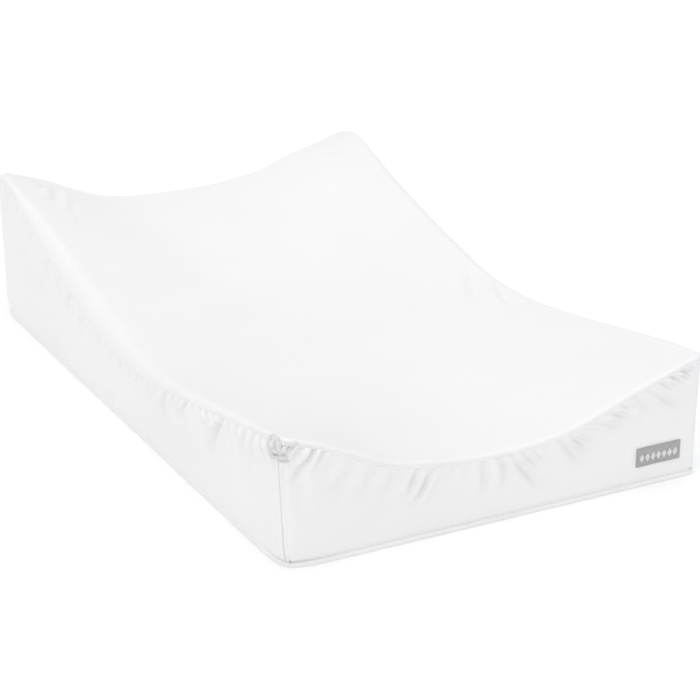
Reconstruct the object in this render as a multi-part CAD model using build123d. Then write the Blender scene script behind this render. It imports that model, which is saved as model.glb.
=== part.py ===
from build123d import *
import math
import os

# A wedge-type baby changing pad: a foam base sheet with three foam wedges glued on it (head, left
# and right), inside a sewn cover of coated fabric that closes with a zip across the head end.
# The origin is the middle of the underside. +X is right as seen from the foot end, +Y points to
# the head end and +Z is up. All dimensions are millimetres.

os.makedirs("parts", exist_ok=True)

# Driving dimensions
WIDTH = 450.0  # over the bottom binding
LENGTH = 750.0  # over the bottom binding
CORNER_R = 13.0  # plan radius of the cover's vertical corners
COVER_T = 1.5  # padded, coated cover fabric
FOAM_GAP = 2.4  # the foam is this much smaller than the cover all round
BASE_SHEET_T = 36.0  # foam base sheet

# Crest line along each side: low at the waist, rising to the foot and the head corners
CREST_LOW = 76.0
CREST_FOOT_SLOPE = 0.165
CREST_FOOT_Y = -70.0
CREST_HEAD_SLOPE = 0.272
CREST_HEAD_Y = -10.0
CREST_BEND = 60.0  # how gently the two slopes start
CREST_END_SLOPE = 0.50  # the crest rounds off this much at the head end
CREST_END_FROM = 35.0  # distance from the head end where that starts
CREST_END_BEND = 24.0

# Lying surface between the crests: flat at the foot, then a slope up to the head
TROUGH_LOW = 69.6
TROUGH_SLOPE = 0.135
TROUGH_Y = 33.0
TROUGH_BEND = 100.0
FLAT_HALF = 66.0  # half the width of the flat strip
CREST_X = 217.0  # the crest's distance from the centre line
FLANK_BEND_FOOT = 50.0
FLANK_BEND_HEAD = 25.0

# The top panel rolls over its edges, down to the seam that joins it to the walls
SIDE_ROLL = 3.0
END_ROLL = 2.0
ROLL_WIDTH = 14.0
SEAM_DROP = 4.0  # least distance from the crest down to the seam
SEAM_LOW = 59.5  # the side seam dips lower than the crest does
SEAM_FOOT_SLOPE = 0.19
SEAM_FOOT_Y = -40.0
SEAM_FOOT_BEND = 80.0
SEAM_HEAD_SLOPE = 0.285
SEAM_HEAD_Y = 35.0
SEAM_END_SLOPE = 0.22
SEAM_END_Y = 255.0
SEAM_HEAD_BEND = 40.0

# Trim
BINDING_PROUD = 1.5
BINDING_H = 7.0
WELT_PROUD = 1.2
WELT_HALF_H = 1.5
CORNER_SEAM_W = 4.0
BUNCH_Z = 122.0  # middle of the gathered bunch at the foot left corner
BUNCH_HALF = (7.5, 3.4, 10.0)  # along the corner, outward and up
TRIM_GAP = 0.3

# Label on the foot wall
LABEL_W = 50.5
LABEL_H = 19.5
LABEL_T = 0.6
LABEL_X = 175.0
LABEL_Z = 31.0
CARE_W = 30.0
CARE_H = 22.0
CARE_T = 0.5
CARE_X = -150.0
CARE_Z = 45.0  # its lower edge

# Zip across the head wall
ZIP_Z = 24.0
ZIP_HALF_RUN = 195.0
ZIP_SLOT_HALF_H = 5.0
ZIP_TAPE_H = 13.0
ZIP_TAPE_T = 0.8
ZIP_COIL_H = 2.8
ZIP_COIL_T = 1.8
ZIP_STOP_X = 190.0
SLIDER_START_X = -178.0

# Worked out from the above
HALF_W = WIDTH / 2 - BINDING_PROUD
HALF_L = LENGTH / 2 - BINDING_PROUD
TALL = 260.0
BLADE_LONG = 60.0  # the cutter that keeps a strip at each vertical corner
BLADE_OUT = 15.0
FOOT_WALL_Y = -HALF_L
HEAD_WALL_Y = HALF_L
GRID_STEP = 10.0
GRID_MARGIN = 20.0


def soft_ramp(distance, bend):
    """Zero before 0 and a unit slope after it, with a hyperbola for the bend."""
    return (distance + math.hypot(distance, bend)) / 2


def crest_height(y):
    foot = CREST_FOOT_SLOPE * soft_ramp(CREST_FOOT_Y - y, CREST_BEND)
    head = CREST_HEAD_SLOPE * soft_ramp(y - CREST_HEAD_Y, CREST_BEND)
    rounded = CREST_END_SLOPE * soft_ramp(y - LENGTH / 2 + CREST_END_FROM, CREST_END_BEND)
    return CREST_LOW + foot + head - rounded


def trough_height(y):
    return TROUGH_LOW + TROUGH_SLOPE * soft_ramp(y - TROUGH_Y, TROUGH_BEND)


def flank_share(x, y):
    """0 on the centre line and 1 at the crest."""
    along = y / LENGTH + 0.5
    bend = FLANK_BEND_FOOT + (FLANK_BEND_HEAD - FLANK_BEND_FOOT) * along

    def rise(offset):
        return soft_ramp(offset - FLAT_HALF, bend) + soft_ramp(-offset - FLAT_HALF, bend)

    return (rise(x) - rise(0.0)) / (rise(CREST_X) - rise(0.0))


def lying_height(x, y):
    """The lying surface without its rolled edges."""
    low = trough_height(y)
    return low + (crest_height(y) - low) * flank_share(x, y)


def edge_roll(distance_inside, drop):
    past = max(0.0, ROLL_WIDTH - distance_inside)
    return drop * (past / ROLL_WIDTH) ** 2


def top_height(x, y):
    rolled = edge_roll(HALF_W - abs(x), SIDE_ROLL) + edge_roll(HALF_L - abs(y), END_ROLL)
    return lying_height(x, y) - rolled


def side_seam_height(y):
    foot = SEAM_FOOT_SLOPE * soft_ramp(SEAM_FOOT_Y - y, SEAM_FOOT_BEND)
    head = SEAM_HEAD_SLOPE * soft_ramp(y - SEAM_HEAD_Y, SEAM_HEAD_BEND)
    end = SEAM_END_SLOPE * soft_ramp(y - SEAM_END_Y, SEAM_HEAD_BEND)
    return SEAM_LOW + foot + head + end


def seam_height(x, y):
    """A surface that meets the walls along the seam and stays under the top panel."""
    extra = soft_ramp(crest_height(y) - side_seam_height(y) - SEAM_DROP, SEAM_DROP)
    return lying_height(x, y) - SEAM_DROP - extra


def height_face(height, lift=0.0):
    """A smooth face over the whole plan, at height(x, y) + lift."""
    across = round((HALF_W + GRID_MARGIN) / GRID_STEP)
    along = round((HALF_L + GRID_MARGIN) / GRID_STEP)
    rows = []
    for row in range(-along, along + 1):
        y = row * (HALF_L + GRID_MARGIN) / along
        columns = [col * (HALF_W + GRID_MARGIN) / across for col in range(-across, across + 1)]
        rows.append([Vector(x, y, height(x, y) + lift) for x in columns])
    return Face.make_surface_from_array_of_points(rows)


def block(inset, low, high):
    """An upright prism with the pad's outline, inset all round."""
    outline = RectangleRounded(
        2 * (HALF_W - inset), 2 * (HALF_L - inset), max(CORNER_R - inset, 2.0)
    )
    return extrude(Pos(0, 0, low) * outline, high - low)


def box_between(low, high):
    size = [high[i] - low[i] for i in range(3)]
    middle = [(high[i] + low[i]) / 2 for i in range(3)]
    return Pos(*middle) * Box(*size)


def split_at(shape, face):
    """The solids under and over a height face."""
    solids = []
    for solid in shape.solids():
        pieces = solid.split(face, keep=Keep.ALL)
        solids.extend(pieces if isinstance(pieces, list) else [pieces])
    solids.sort(key=lambda solid: solid.center().Z)
    return solids[0], solids[-1]


def save(name, shape):
    solids = shape.solids()
    whole = solids[0] if len(solids) == 1 else Compound(children=list(solids))
    whole.label = name
    export_step(whole, f"parts/{name}.step")


def side_zone(side, reach=60.0):
    """The plan area nearest one side, cut off at 45 degrees at the corners, as a tall prism."""
    x, y, past = HALF_W, HALF_L, 10.0
    if side in ("left", "right"):
        sign = -1 if side == "left" else 1
        corners = [
            (sign * (x + past), -(y + past)),
            (sign * (x - reach), -(y - reach)),
            (sign * (x - reach), y - reach),
            (sign * (x + past), y + past),
        ]
    else:
        sign = -1 if side == "foot" else 1
        corners = [
            (-(x + past), sign * (y + past)),
            (-(x - reach), sign * (y - reach)),
            (x - reach, sign * (y - reach)),
            (x + past, sign * (y + past)),
        ]
    zone = make_face(Polyline(*corners, close=True))
    prism = extrude(Pos(0, 0, -1) * zone, TALL, dir=(0, 0, 1))
    return prism


def foam_blocks():
    """The base sheet and the three wedges glued on it."""
    bottom = COVER_T + 0.3
    gap = COVER_T + FOAM_GAP
    whole = block(gap, bottom, TALL)
    foam, _ = split_at(whole, height_face(top_height, -gap))
    sheet_top = bottom + BASE_SHEET_T
    big = TALL
    base = foam & box_between((-big, -2 * big, 0), (big, 2 * big, sheet_top))
    above = foam & box_between((-big, -2 * big, sheet_top), (big, 2 * big, big))
    middle = above & box_between(
        (-FLAT_HALF, -2 * big, 0), (FLAT_HALF, 2 * big, big)
    )
    left = above & box_between((-big, -2 * big, 0), (-FLAT_HALF, 2 * big, big))
    right = above & box_between((FLAT_HALF, -2 * big, 0), (big, 2 * big, big))
    save("foam_base_sheet", base)
    save("foam_wedge_head", middle)
    save("foam_wedge_left", left)
    save("foam_wedge_right", right)


def cover_panels():
    outer, _ = split_at(block(0, COVER_T, TALL), height_face(top_height))
    inner, _ = split_at(block(COVER_T, 0, TALL), height_face(top_height, -COVER_T))
    walls, top = split_at(outer - inner, height_face(seam_height))
    save("cover_top_panel", top)
    for side in ("left", "right", "foot"):
        save(f"cover_{side}_panel", walls & side_zone(side))
    head = walls & side_zone("head")
    slot = box_between(
        (-ZIP_HALF_RUN, HEAD_WALL_Y - 5, ZIP_Z - ZIP_SLOT_HALF_H),
        (ZIP_HALF_RUN, HEAD_WALL_Y + 5, ZIP_Z + ZIP_SLOT_HALF_H),
    )
    head = head - slot
    wide = WIDTH
    over = box_between((-wide, 0, ZIP_Z), (wide, LENGTH, TALL))
    save("cover_head_upper_panel", head & over)
    save("cover_head_lower_panel", head - over)
    save("cover_bottom_panel", block(0, 0, COVER_T))


def trim():
    binding = block(-BINDING_PROUD, 0, BINDING_H) - block(0, -1, BINDING_H + 1)
    save("bottom_binding", binding)

    band = block(-WELT_PROUD, 0, TALL) - block(0, -1, TALL + 1)
    under_top, _ = split_at(band, height_face(seam_height, WELT_HALF_H))
    _, welt = split_at(under_top, height_face(seam_height, -WELT_HALF_H))
    save("top_seam_welt", welt)

    under_welt, _ = split_at(band, height_face(seam_height, -WELT_HALF_H - TRIM_GAP))
    strips = under_welt & box_between(
        (-WIDTH, -LENGTH, BINDING_H + TRIM_GAP), (WIDTH, LENGTH, TALL)
    )
    for end, y_sign in (("foot", -1), ("head", 1)):
        for side, x_sign in (("left", -1), ("right", 1)):
            arc_x = x_sign * (HALF_W - CORNER_R)
            arc_y = y_sign * (HALF_L - CORNER_R)
            blade = Box(CORNER_SEAM_W, BLADE_LONG, 2 * TALL)
            turn = -45 if x_sign == y_sign else 45
            place = Pos(arc_x + x_sign * BLADE_OUT, arc_y + y_sign * BLADE_OUT, 0)
            corner = place * Rot(0, 0, turn) * blade
            save(f"corner_seam_{end}_{side}", strips & corner)


def corner_gather():
    """The small bunch of fabric where the seams meet at the foot left corner."""
    reach = CORNER_R + WELT_PROUD + TRIM_GAP + BUNCH_HALF[1]
    step = reach / math.sqrt(2)
    middle = Pos(-(HALF_W - CORNER_R) - step, -(HALF_L - CORNER_R) - step, BUNCH_Z)
    bunch = scale(Sphere(1.0), by=BUNCH_HALF)
    save("corner_gather", middle * Rot(0, 0, -45) * bunch)


def label():
    face_y = FOOT_WALL_Y - LABEL_T
    plate = box_between(
        (LABEL_X - LABEL_W / 2, face_y, LABEL_Z - LABEL_H / 2),
        (LABEL_X + LABEL_W / 2, FOOT_WALL_Y, LABEL_Z + LABEL_H / 2),
    )
    save("foot_label", plate)
    stitches = []
    margin, pitch, length, thick = 1.3, 3.2, 2.2, 0.4
    columns = int((LABEL_W - 2 * margin) / pitch)
    rows = int((LABEL_H - 2 * margin) / pitch)
    for i in range(columns):
        x = LABEL_X + (i - (columns - 1) / 2) * pitch
        for z_sign in (-1, 1):
            z = LABEL_Z + z_sign * (LABEL_H / 2 - margin)
            stitches.append(Pos(x, face_y - thick / 2, z) * Box(length, thick, thick))
    for i in range(rows - 1):
        z = LABEL_Z + (i - (rows - 2) / 2) * pitch
        for x_sign in (-1, 1):
            x = LABEL_X + x_sign * (LABEL_W / 2 - margin)
            stitches.append(Pos(x, face_y - thick / 2, z) * Box(thick, thick, length))
    save("label_stitching", Compound(children=stitches))
    care = box_between(
        (CARE_X - CARE_W / 2, HEAD_WALL_Y, CARE_Z),
        (CARE_X + CARE_W / 2, HEAD_WALL_Y + CARE_T, CARE_Z + CARE_H),
    )
    save("care_label", care)


def zip_fixed():
    """Tapes sewn behind the head wall, the two closed rows of coil, and the end stops."""
    back_y = HEAD_WALL_Y - COVER_T - ZIP_TAPE_T
    face_y = HEAD_WALL_Y - COVER_T
    coil_y = face_y + ZIP_COIL_T
    half_run = ZIP_HALF_RUN + 5
    for name, sign in (("upper", 1), ("lower", -1)):
        tape = box_between(
            (-half_run, back_y, min(ZIP_Z, ZIP_Z + sign * ZIP_TAPE_H)),
            (half_run, face_y, max(ZIP_Z, ZIP_Z + sign * ZIP_TAPE_H)),
        )
        save(f"zip_tape_{name}", tape)
        coil = box_between(
            (-ZIP_STOP_X, face_y, min(ZIP_Z, ZIP_Z + sign * ZIP_COIL_H)),
            (ZIP_STOP_X, coil_y, max(ZIP_Z, ZIP_Z + sign * ZIP_COIL_H)),
        )
        save(f"zip_coil_{name}", coil)
    stops = [
        box_between(
            (min(sign * ZIP_STOP_X, sign * (ZIP_STOP_X + 3)), face_y, ZIP_Z - 3.2),
            (max(sign * ZIP_STOP_X, sign * (ZIP_STOP_X + 3)), coil_y + 0.4, ZIP_Z + 3.2),
        )
        for sign in (-1, 1)
    ]
    save("zip_end_stops", Compound(children=stops))


def zip_slider_and_pull():
    """The slider rides over the coil, and its pull turns on a bar between two lugs."""
    clear = 0.3
    coil_y = HEAD_WALL_Y - COVER_T + ZIP_COIL_T
    plate_low = coil_y + clear
    plate_t, long, tall = 1.2, 11.0, 8.6
    flange_t = 1.0
    x = SLIDER_START_X
    nose = 3.5
    outline = Polyline(
        (x - long / 2, ZIP_Z - tall / 2),
        (x + long / 2 - nose, ZIP_Z - tall / 2),
        (x + long / 2, ZIP_Z - tall / 2 + 1.4),
        (x + long / 2, ZIP_Z + tall / 2 - 1.4),
        (x + long / 2 - nose, ZIP_Z + tall / 2),
        (x - long / 2, ZIP_Z + tall / 2),
        close=True,
    )
    wall_plane = Plane(origin=(0, plate_low, 0), x_dir=(1, 0, 0), z_dir=(0, -1, 0))
    plate = extrude(wall_plane * make_face(outline), -plate_t)
    slider = plate
    for sign in (-1, 1):
        outside = ZIP_Z + sign * tall / 2
        inside = outside - sign * flange_t
        slider += box_between(
            (x - long / 2, HEAD_WALL_Y - COVER_T + clear, min(inside, outside)),
            (x + long / 2 - nose, plate_low + plate_t, max(inside, outside)),
        )
    bar_r, bar_y = 0.8, plate_low + plate_t + 2.3
    lug_gap, lug_t = 4.4, 1.0
    for sign in (-1, 1):
        inside = ZIP_Z + sign * lug_gap / 2
        outside = inside + sign * lug_t
        slider += box_between(
            (x - 1.4, plate_low + plate_t, min(inside, outside)),
            (x + 1.4, bar_y + bar_r + 0.3, max(inside, outside)),
        )
    slider += Pos(x, bar_y, ZIP_Z) * Cylinder(bar_r, lug_gap + 1.0)
    save("zip_slider", slider)

    eye_r, hole_r, tab_w, tab_t, tab_long = 1.8, bar_r + 0.2, 3.8, 1.2, 24.0
    eye = Pos(x, bar_y, ZIP_Z) * (Cylinder(eye_r, tab_w) - Cylinder(hole_r, tab_w + 1))
    neck = box_between(
        (x - 7.0, bar_y - tab_t / 2, ZIP_Z - tab_w / 2),
        (x - (hole_r + eye_r) / 2, bar_y + tab_t / 2, ZIP_Z + tab_w / 2),
    )
    grip_plan = SlotOverall(tab_long - 5.0, 6.4) - Pos(-5.5, 0) * SlotOverall(6.5, 2.6)
    grip_plane = Plane(
        origin=(x - 5.0 - (tab_long - 5.0) / 2, bar_y + tab_t / 2, ZIP_Z),
        x_dir=(1, 0, 0),
        z_dir=(0, -1, 0),
    )
    grip = extrude(grip_plane * grip_plan, tab_t)
    save("zip_pull", eye + neck + grip)
    print("pull turns about x, y, z =", x, round(bar_y, 3), ZIP_Z)


foam_blocks()
cover_panels()
trim()
corner_gather()
label()
zip_fixed()
zip_slider_and_pull()
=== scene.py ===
import math
import random

import bmesh
import bpy
import numpy as np
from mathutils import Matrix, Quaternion, Vector


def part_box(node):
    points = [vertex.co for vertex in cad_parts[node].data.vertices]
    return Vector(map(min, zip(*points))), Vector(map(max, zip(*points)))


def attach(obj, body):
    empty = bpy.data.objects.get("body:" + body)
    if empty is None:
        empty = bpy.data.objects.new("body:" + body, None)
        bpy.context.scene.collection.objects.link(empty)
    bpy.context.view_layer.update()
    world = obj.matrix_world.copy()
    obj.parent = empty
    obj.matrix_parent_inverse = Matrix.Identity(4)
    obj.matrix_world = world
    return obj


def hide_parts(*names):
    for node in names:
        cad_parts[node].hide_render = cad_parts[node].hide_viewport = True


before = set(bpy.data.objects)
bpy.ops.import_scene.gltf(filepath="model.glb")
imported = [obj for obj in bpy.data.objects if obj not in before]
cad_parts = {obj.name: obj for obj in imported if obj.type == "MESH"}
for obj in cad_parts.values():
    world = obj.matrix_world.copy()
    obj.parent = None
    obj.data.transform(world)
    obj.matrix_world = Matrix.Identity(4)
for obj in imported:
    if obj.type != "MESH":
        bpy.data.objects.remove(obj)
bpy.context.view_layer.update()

# The changing pad's looks: a sewn white cover of coated fabric, gathered onto its top seam, over
# foam. All lengths are metres in the CAD frame: +X right as seen from the foot, +Y to the head.
MM = 0.001

# ---- Sizes
# The plan comes from the CAD nodes; the crest, trough and seam follow the CAD's formulas.
panel_low, panel_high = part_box("cover_bottom_panel")
HALF_W = (panel_high[0] - panel_low[0]) / 2
HALF_L = (panel_high[1] - panel_low[1]) / 2
CORNER_R = 13 * MM
BINDING_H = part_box("bottom_binding")[1][2]
FABRIC_T = 0.9 * MM
SIDES = ("foot", "right", "head", "left")

CREST_LOW, CREST_BEND = 0.076, 0.060
CREST_FOOT_SLOPE, CREST_FOOT_Y = 0.165, -0.070
CREST_HEAD_SLOPE, CREST_HEAD_Y = 0.272, -0.010
CREST_END_SLOPE, CREST_END_Y, CREST_END_BEND = 0.50, 0.340, 0.024
TROUGH_LOW, TROUGH_SLOPE, TROUGH_Y, TROUGH_BEND = 0.0696, 0.135, 0.033, 0.100
FLAT_HALF, CREST_X, PATTERN_LENGTH = 0.066, 0.217, 0.750
FLANK_BEND_FOOT, FLANK_BEND_LOSS = 0.050, 0.025
SEAM_DROP, SEAM_DROP_BEND, SEAM_LOW = 0.004, 0.004, 0.0595
SEAM_FOOT_SLOPE, SEAM_FOOT_Y, SEAM_FOOT_BEND = 0.19, -0.040, 0.080
SEAM_HEAD_SLOPE, SEAM_HEAD_Y, SEAM_HEAD_BEND = 0.285, 0.035, 0.040
SEAM_END_SLOPE, SEAM_END_Y = 0.22, 0.255
# The head left corner's roll falls and reaches further than the pattern's.
FULL_CORNER_DROP = 4.5 * MM
FULL_CORNER_ROLL = 4.0 * MM


def soft_ramp(distance, bend):
    """Zero before 0 and a unit slope after it, with a hyperbola for the bend."""
    return (distance + np.hypot(distance, bend)) / 2


def smooth(value, low, high):
    """0 below low and 1 above high, with an S curve between them."""
    share = np.clip((value - low) / (high - low), 0, 1)
    return share * share * (3 - 2 * share)


def crest_height(y):
    foot = CREST_FOOT_SLOPE * soft_ramp(CREST_FOOT_Y - y, CREST_BEND)
    head = CREST_HEAD_SLOPE * soft_ramp(y - CREST_HEAD_Y, CREST_BEND)
    rounded = CREST_END_SLOPE * soft_ramp(y - CREST_END_Y, CREST_END_BEND)
    return CREST_LOW + foot + head - rounded


def trough_height(y):
    return TROUGH_LOW + TROUGH_SLOPE * soft_ramp(y - TROUGH_Y, TROUGH_BEND)


def flank_share(x, y):
    """0 on the centre line and 1 at the crest."""
    bend = FLANK_BEND_FOOT - FLANK_BEND_LOSS * (y / PATTERN_LENGTH + 0.5)

    def rise(offset):
        return soft_ramp(offset - FLAT_HALF, bend) + soft_ramp(-offset - FLAT_HALF, bend)

    return (rise(x) - rise(0.0)) / (rise(CREST_X) - rise(0.0))


# Where the used pad stands higher or lower than its pattern: place, half widths and height, mm.
SETTLED = [
    (-115, -373, 32, 120, -4.5), (135, -373, 45, 120, 3), (-188, -373, 18, 60, 2),
    (222, -373, 12, 40, -3.5), (-178, 373, 34, 70, 5.5), (175, 373, 34, 70, -3.5),
    (-105, 373, 28, 70, -2.5), (112, 373, 28, 70, -4.5),
    (20, 375, 180, 60, -2.2), (-217, 373, 24, 45, 3.6), (214, 368, 26, 45, -4),
    (212, 75, 16, 60, 2.5),
]


def settled(x, y):
    total = 0
    for at_x, at_y, half_x, half_y, height in SETTLED:
        reach = ((x - at_x * MM) / (half_x * MM)) ** 2 + ((y - at_y * MM) / (half_y * MM)) ** 2
        total = total + height * MM * np.exp(-reach)
    return total


def lying_height(x, y):
    """The pattern's surface, as the used pad has settled."""
    low = trough_height(y)
    return low + (crest_height(y) - low) * flank_share(x, y) + settled(x, y)


def full_corner(x, y):
    """How much a place belongs to the head left corner, from 0 to 1."""
    return smooth(-x, 0.165, 0.215) * smooth(y, 0.30, 0.37)


def seam_drop(x, y):
    """How far the top seam runs under the lying surface."""
    foot = SEAM_FOOT_SLOPE * soft_ramp(SEAM_FOOT_Y - y, SEAM_FOOT_BEND)
    head = SEAM_HEAD_SLOPE * soft_ramp(y - SEAM_HEAD_Y, SEAM_HEAD_BEND)
    head = head + SEAM_END_SLOPE * soft_ramp(y - SEAM_END_Y, SEAM_HEAD_BEND)
    side = SEAM_LOW + foot + head
    drop = SEAM_DROP + soft_ramp(crest_height(y) - side - SEAM_DROP, SEAM_DROP_BEND)
    return drop + FULL_CORNER_DROP * full_corner(x, y)


def seam_height(x, y):
    return lying_height(x, y) - seam_drop(x, y)


# ---- Plan outline

FINE_END, FINE_END_POINTS = 14 * MM, 22
END_OVERLAP = 1.5 * MM  # the foot and head walls run this far past the corner's middle


def outline(side, spacing, fine_ends=False):
    """Points along one wall between the middles of its corners, with normals and arc length, from
    left to right as seen from outside."""
    at_end = side in ("foot", "head")
    half, reach = (HALF_W, HALF_L) if at_end else (HALF_L, HALF_W)
    straight_half = half - CORNER_R
    quarter = CORNER_R * math.pi / 4
    total = 2 * (straight_half + quarter)
    count = int(round(total / spacing)) + 1
    s = np.linspace(-total / 2, total / 2, count)
    if fine_ends:
        end = total / 2 + (END_OVERLAP if at_end else 0)
        near = np.linspace(total / 2 - FINE_END, end, FINE_END_POINTS)
        middle = s[np.abs(s) < total / 2 - FINE_END - 1 * MM]
        s = np.concatenate([-near[::-1], middle, near])
    bent = np.clip(np.abs(s) - straight_half, 0, None) / CORNER_R * np.sign(s)
    along = np.clip(s, -straight_half, straight_half) + CORNER_R * np.sin(bent)
    away = reach - CORNER_R + CORNER_R * np.cos(bent)
    c, d = turned(90 * SIDES.index(side))
    x = c * along + d * away
    y = d * along - c * away
    nx = c * np.sin(bent) + d * np.cos(bent)
    ny = d * np.sin(bent) - c * np.cos(bent)
    return x, y, nx, ny, s


def past_arcs(x, y):
    """How far a place is beyond the middles of the corner arcs, along x and along y."""
    return np.abs(x) - (HALF_W - CORNER_R), np.abs(y) - (HALF_L - CORNER_R)


def to_rounded(x, y):
    """Moves points of the full rectangle so that its corners follow the plan radius, and gives
    their depth inside the outline."""
    qx, qy = past_arcs(x, y)
    inside = (qx > 0) & (qy > 0)
    far = np.maximum(np.maximum(qx, qy), 1e-9)
    angle = np.where(qx <= qy, qx / far, 2 - qy / far) * math.pi / 4
    new_x = np.sign(x) * (HALF_W - CORNER_R + far * np.sin(angle))
    new_y = np.sign(y) * (HALF_L - CORNER_R + far * np.cos(angle))
    depth = np.where(inside, CORNER_R - far, np.minimum(HALF_W - np.abs(x), HALF_L - np.abs(y)))
    return np.where(inside, new_x, x), np.where(inside, new_y, y), depth


def outward(x, y):
    """The direction out of the nearest part of the outline."""
    qx, qy = past_arcs(x, y)
    corner = (qx > 0) & (qy > 0)
    length = np.maximum(np.hypot(qx, qy), 1e-9)
    nx = np.where(corner, qx / length, np.where(qx > qy, 1.0, 0.0)) * np.sign(x)
    ny = np.where(corner, qy / length, np.where(qx > qy, 0.0, 1.0)) * np.sign(y)
    return nx, ny


def waves(u, v, seed, scales):
    """Smooth seeded undulation: sines with random directions, about -1 to 1."""
    draw = random.Random(seed)
    total = np.zeros(np.broadcast(u, v).shape)
    for length in scales:
        for _ in range(5):
            angle = draw.uniform(0, math.pi)
            phase = draw.uniform(0, 2 * math.pi)
            stretch = draw.uniform(0.75, 1.3)
            k = 2 * math.pi / (length * stretch)
            total = total + np.sin(k * (u * math.cos(angle) + v * math.sin(angle)) + phase)
    return total / (2.2 * len(scales) ** 0.5)


# ---- Mesh helpers


def add_object(name, data):
    item = bpy.data.objects.new(name, data)
    bpy.context.scene.collection.objects.link(item)
    return item


def new_object(name, verts, faces):
    mesh = bpy.data.meshes.new(name)
    mesh.from_pydata([tuple(v) for v in verts], [], faces)
    mesh.validate()
    mesh.update()
    mesh.polygons.foreach_set("use_smooth", [True] * len(mesh.polygons))
    return add_object(name, mesh)


def angles_round(count):
    return [2 * math.pi * k / count for k in range(count)]


def turned(degrees):
    """The cosine and sine of an angle."""
    return math.cos(math.radians(degrees)), math.sin(math.radians(degrees))


def grid_faces(rows, cols, close_rows=False, close_cols=False):
    faces = []
    for i in range(rows if close_rows else rows - 1):
        for j in range(cols if close_cols else cols - 1):
            a = i * cols + j
            b = i * cols + (j + 1) % cols
            c = ((i + 1) % rows) * cols + (j + 1) % cols
            d = ((i + 1) % rows) * cols + j
            faces.append((a, b, c, d))
    return faces


def grid_object(name, x, y, z, flipped=False):
    faces = grid_faces(*z.shape)
    if flipped:
        faces = [face[::-1] for face in faces]
    return new_object(name, np.stack([x, y, z], axis=-1).reshape(-1, 3), faces)


def node_grid(node, cols, rows):
    """A node's lowest and highest corner, and a grid of places across its front."""
    low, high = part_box(node)
    gx, gz = np.meshgrid(np.linspace(low[0], high[0], cols), np.linspace(low[2], high[2], rows))
    return low, high, gx, gz


def add_tube(faces, first, rings, around, capped=True):
    """Adds the faces of a tube whose rings of vertices start at the number first."""
    for ring in range(rings - 1):
        base = first + ring * around
        for a in range(around):
            b = (a + 1) % around
            faces.append((base + a, base + b, base + around + b, base + around + a))
    if capped:
        last = first + (rings - 1) * around
        faces.append(tuple(first + a for a in range(around))[::-1])
        faces.append(tuple(last + a for a in range(around)))


def read_points(mesh, name="co"):
    points = np.empty(len(mesh.vertices) * 3)
    mesh.vertices.foreach_get(name, points)
    return points.reshape(-1, 3)


def write_points(piece, points):
    piece.data.vertices.foreach_set("co", points.ravel())
    piece.data.update()


def apply_modifiers(piece):
    bpy.context.view_layer.update()
    graph = bpy.context.evaluated_depsgraph_get()
    mesh = bpy.data.meshes.new_from_object(piece.evaluated_get(graph))
    old = piece.data
    piece.modifiers.clear()
    piece.data = mesh
    mesh.name = piece.name
    bpy.data.meshes.remove(old)
    mesh.polygons.foreach_set("use_smooth", [True] * len(mesh.polygons))


def face_outward(piece):
    """Turns the faces of a closed piece so that all of them look out."""
    work = bmesh.new()
    work.from_mesh(piece.data)
    bmesh.ops.recalc_face_normals(work, faces=work.faces)
    work.to_mesh(piece.data)
    work.free()
    return piece


def thicken(piece, thickness=FABRIC_T):
    solid = piece.modifiers.new("cloth thickness", "SOLIDIFY")
    solid.thickness = thickness
    solid.offset = -1
    apply_modifiers(piece)
    return piece


def remesh(piece, voxel, factor, iterations):
    """Rebuilds a piece as one even skin and softens it."""
    skin = piece.modifiers.new("remesh", "REMESH")
    skin.mode = "VOXEL"
    skin.voxel_size = voxel
    soften = piece.modifiers.new("soften", "SMOOTH")
    soften.factor = factor
    soften.iterations = iterations
    apply_modifiers(piece)


# ---- Wall folds
# Each starts at the top seam: where along the wall (mm), its lean (along per unit down), its length,
# half width and depth (mm), and at which share of its length it is deepest.
FOOT_FOLDS = [
    (-211, 0.05, 75, 7, 3.4, 0.15), (-214, -0.5, 26, 3.5, 3, 0.1),
    (-206, -0.6, 24, 3.5, 3.4, 0.1), (-193, -0.6, 40, 3.2, 4.8, 0.1),
    (-183, -0.5, 22, 3, 2.4, 0.1), (-171, -0.4, 37, 6.3, 1.9, 0.45),
    (-152, -0.4, 50, 9.2, 3.2, 0.5), (-130, -0.4, 46, 8, 2.8, 0.5),
    (-110, -0.4, 36, 6.3, 2.2, 0.5), (-89, -0.3, 30, 3.5, 3.6, 0.45),
    (-72, -0.5, 39, 3.7, 4.4, 0.45), (-50, -0.2, 19, 5, 1.5, 0.45),
    (-20, 0.15, 34, 5.6, 4.6, 0.6), (-2, 0.3, 31, 4.6, 4.2, 0.5), (8, 0.75, 50, 4, 3.6, 0.5),
    (20, 0.9, 26, 4, 3.2, 0.45), (32, 0.8, 24, 5, 2.8, 0.45), (44, 0.7, 16, 4.5, 1.5, 0.45),
    (61, 0.7, 41, 4.3, 3.7, 0.45), (72, 0.8, 29, 4, 3.2, 0.45), (80, 1.1, 19, 3.3, 2.4, 0.45),
    (86, 1.1, 16, 3, 2.1, 0.45), (97, 1.3, 29, 5.1, 2.1, 0.45), (115, 1.1, 24, 4.3, 2.8, 0.45),
    (128, 1, 16, 3.8, 1.9, 0.45), (144, 0.66, 30, 5, 3.2, 0.5), (157, 0.97, 38, 4.2, 3, 0.7),
    (172, 0.9, 18, 3, 2, 0.3), (184, 0.95, 16, 3.2, 3, 0.3), (196, 0.95, 15, 3, 2.8, 0.3),
    (206, 0.8, 12, 2.8, 1.4, 0.3),
]
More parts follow.
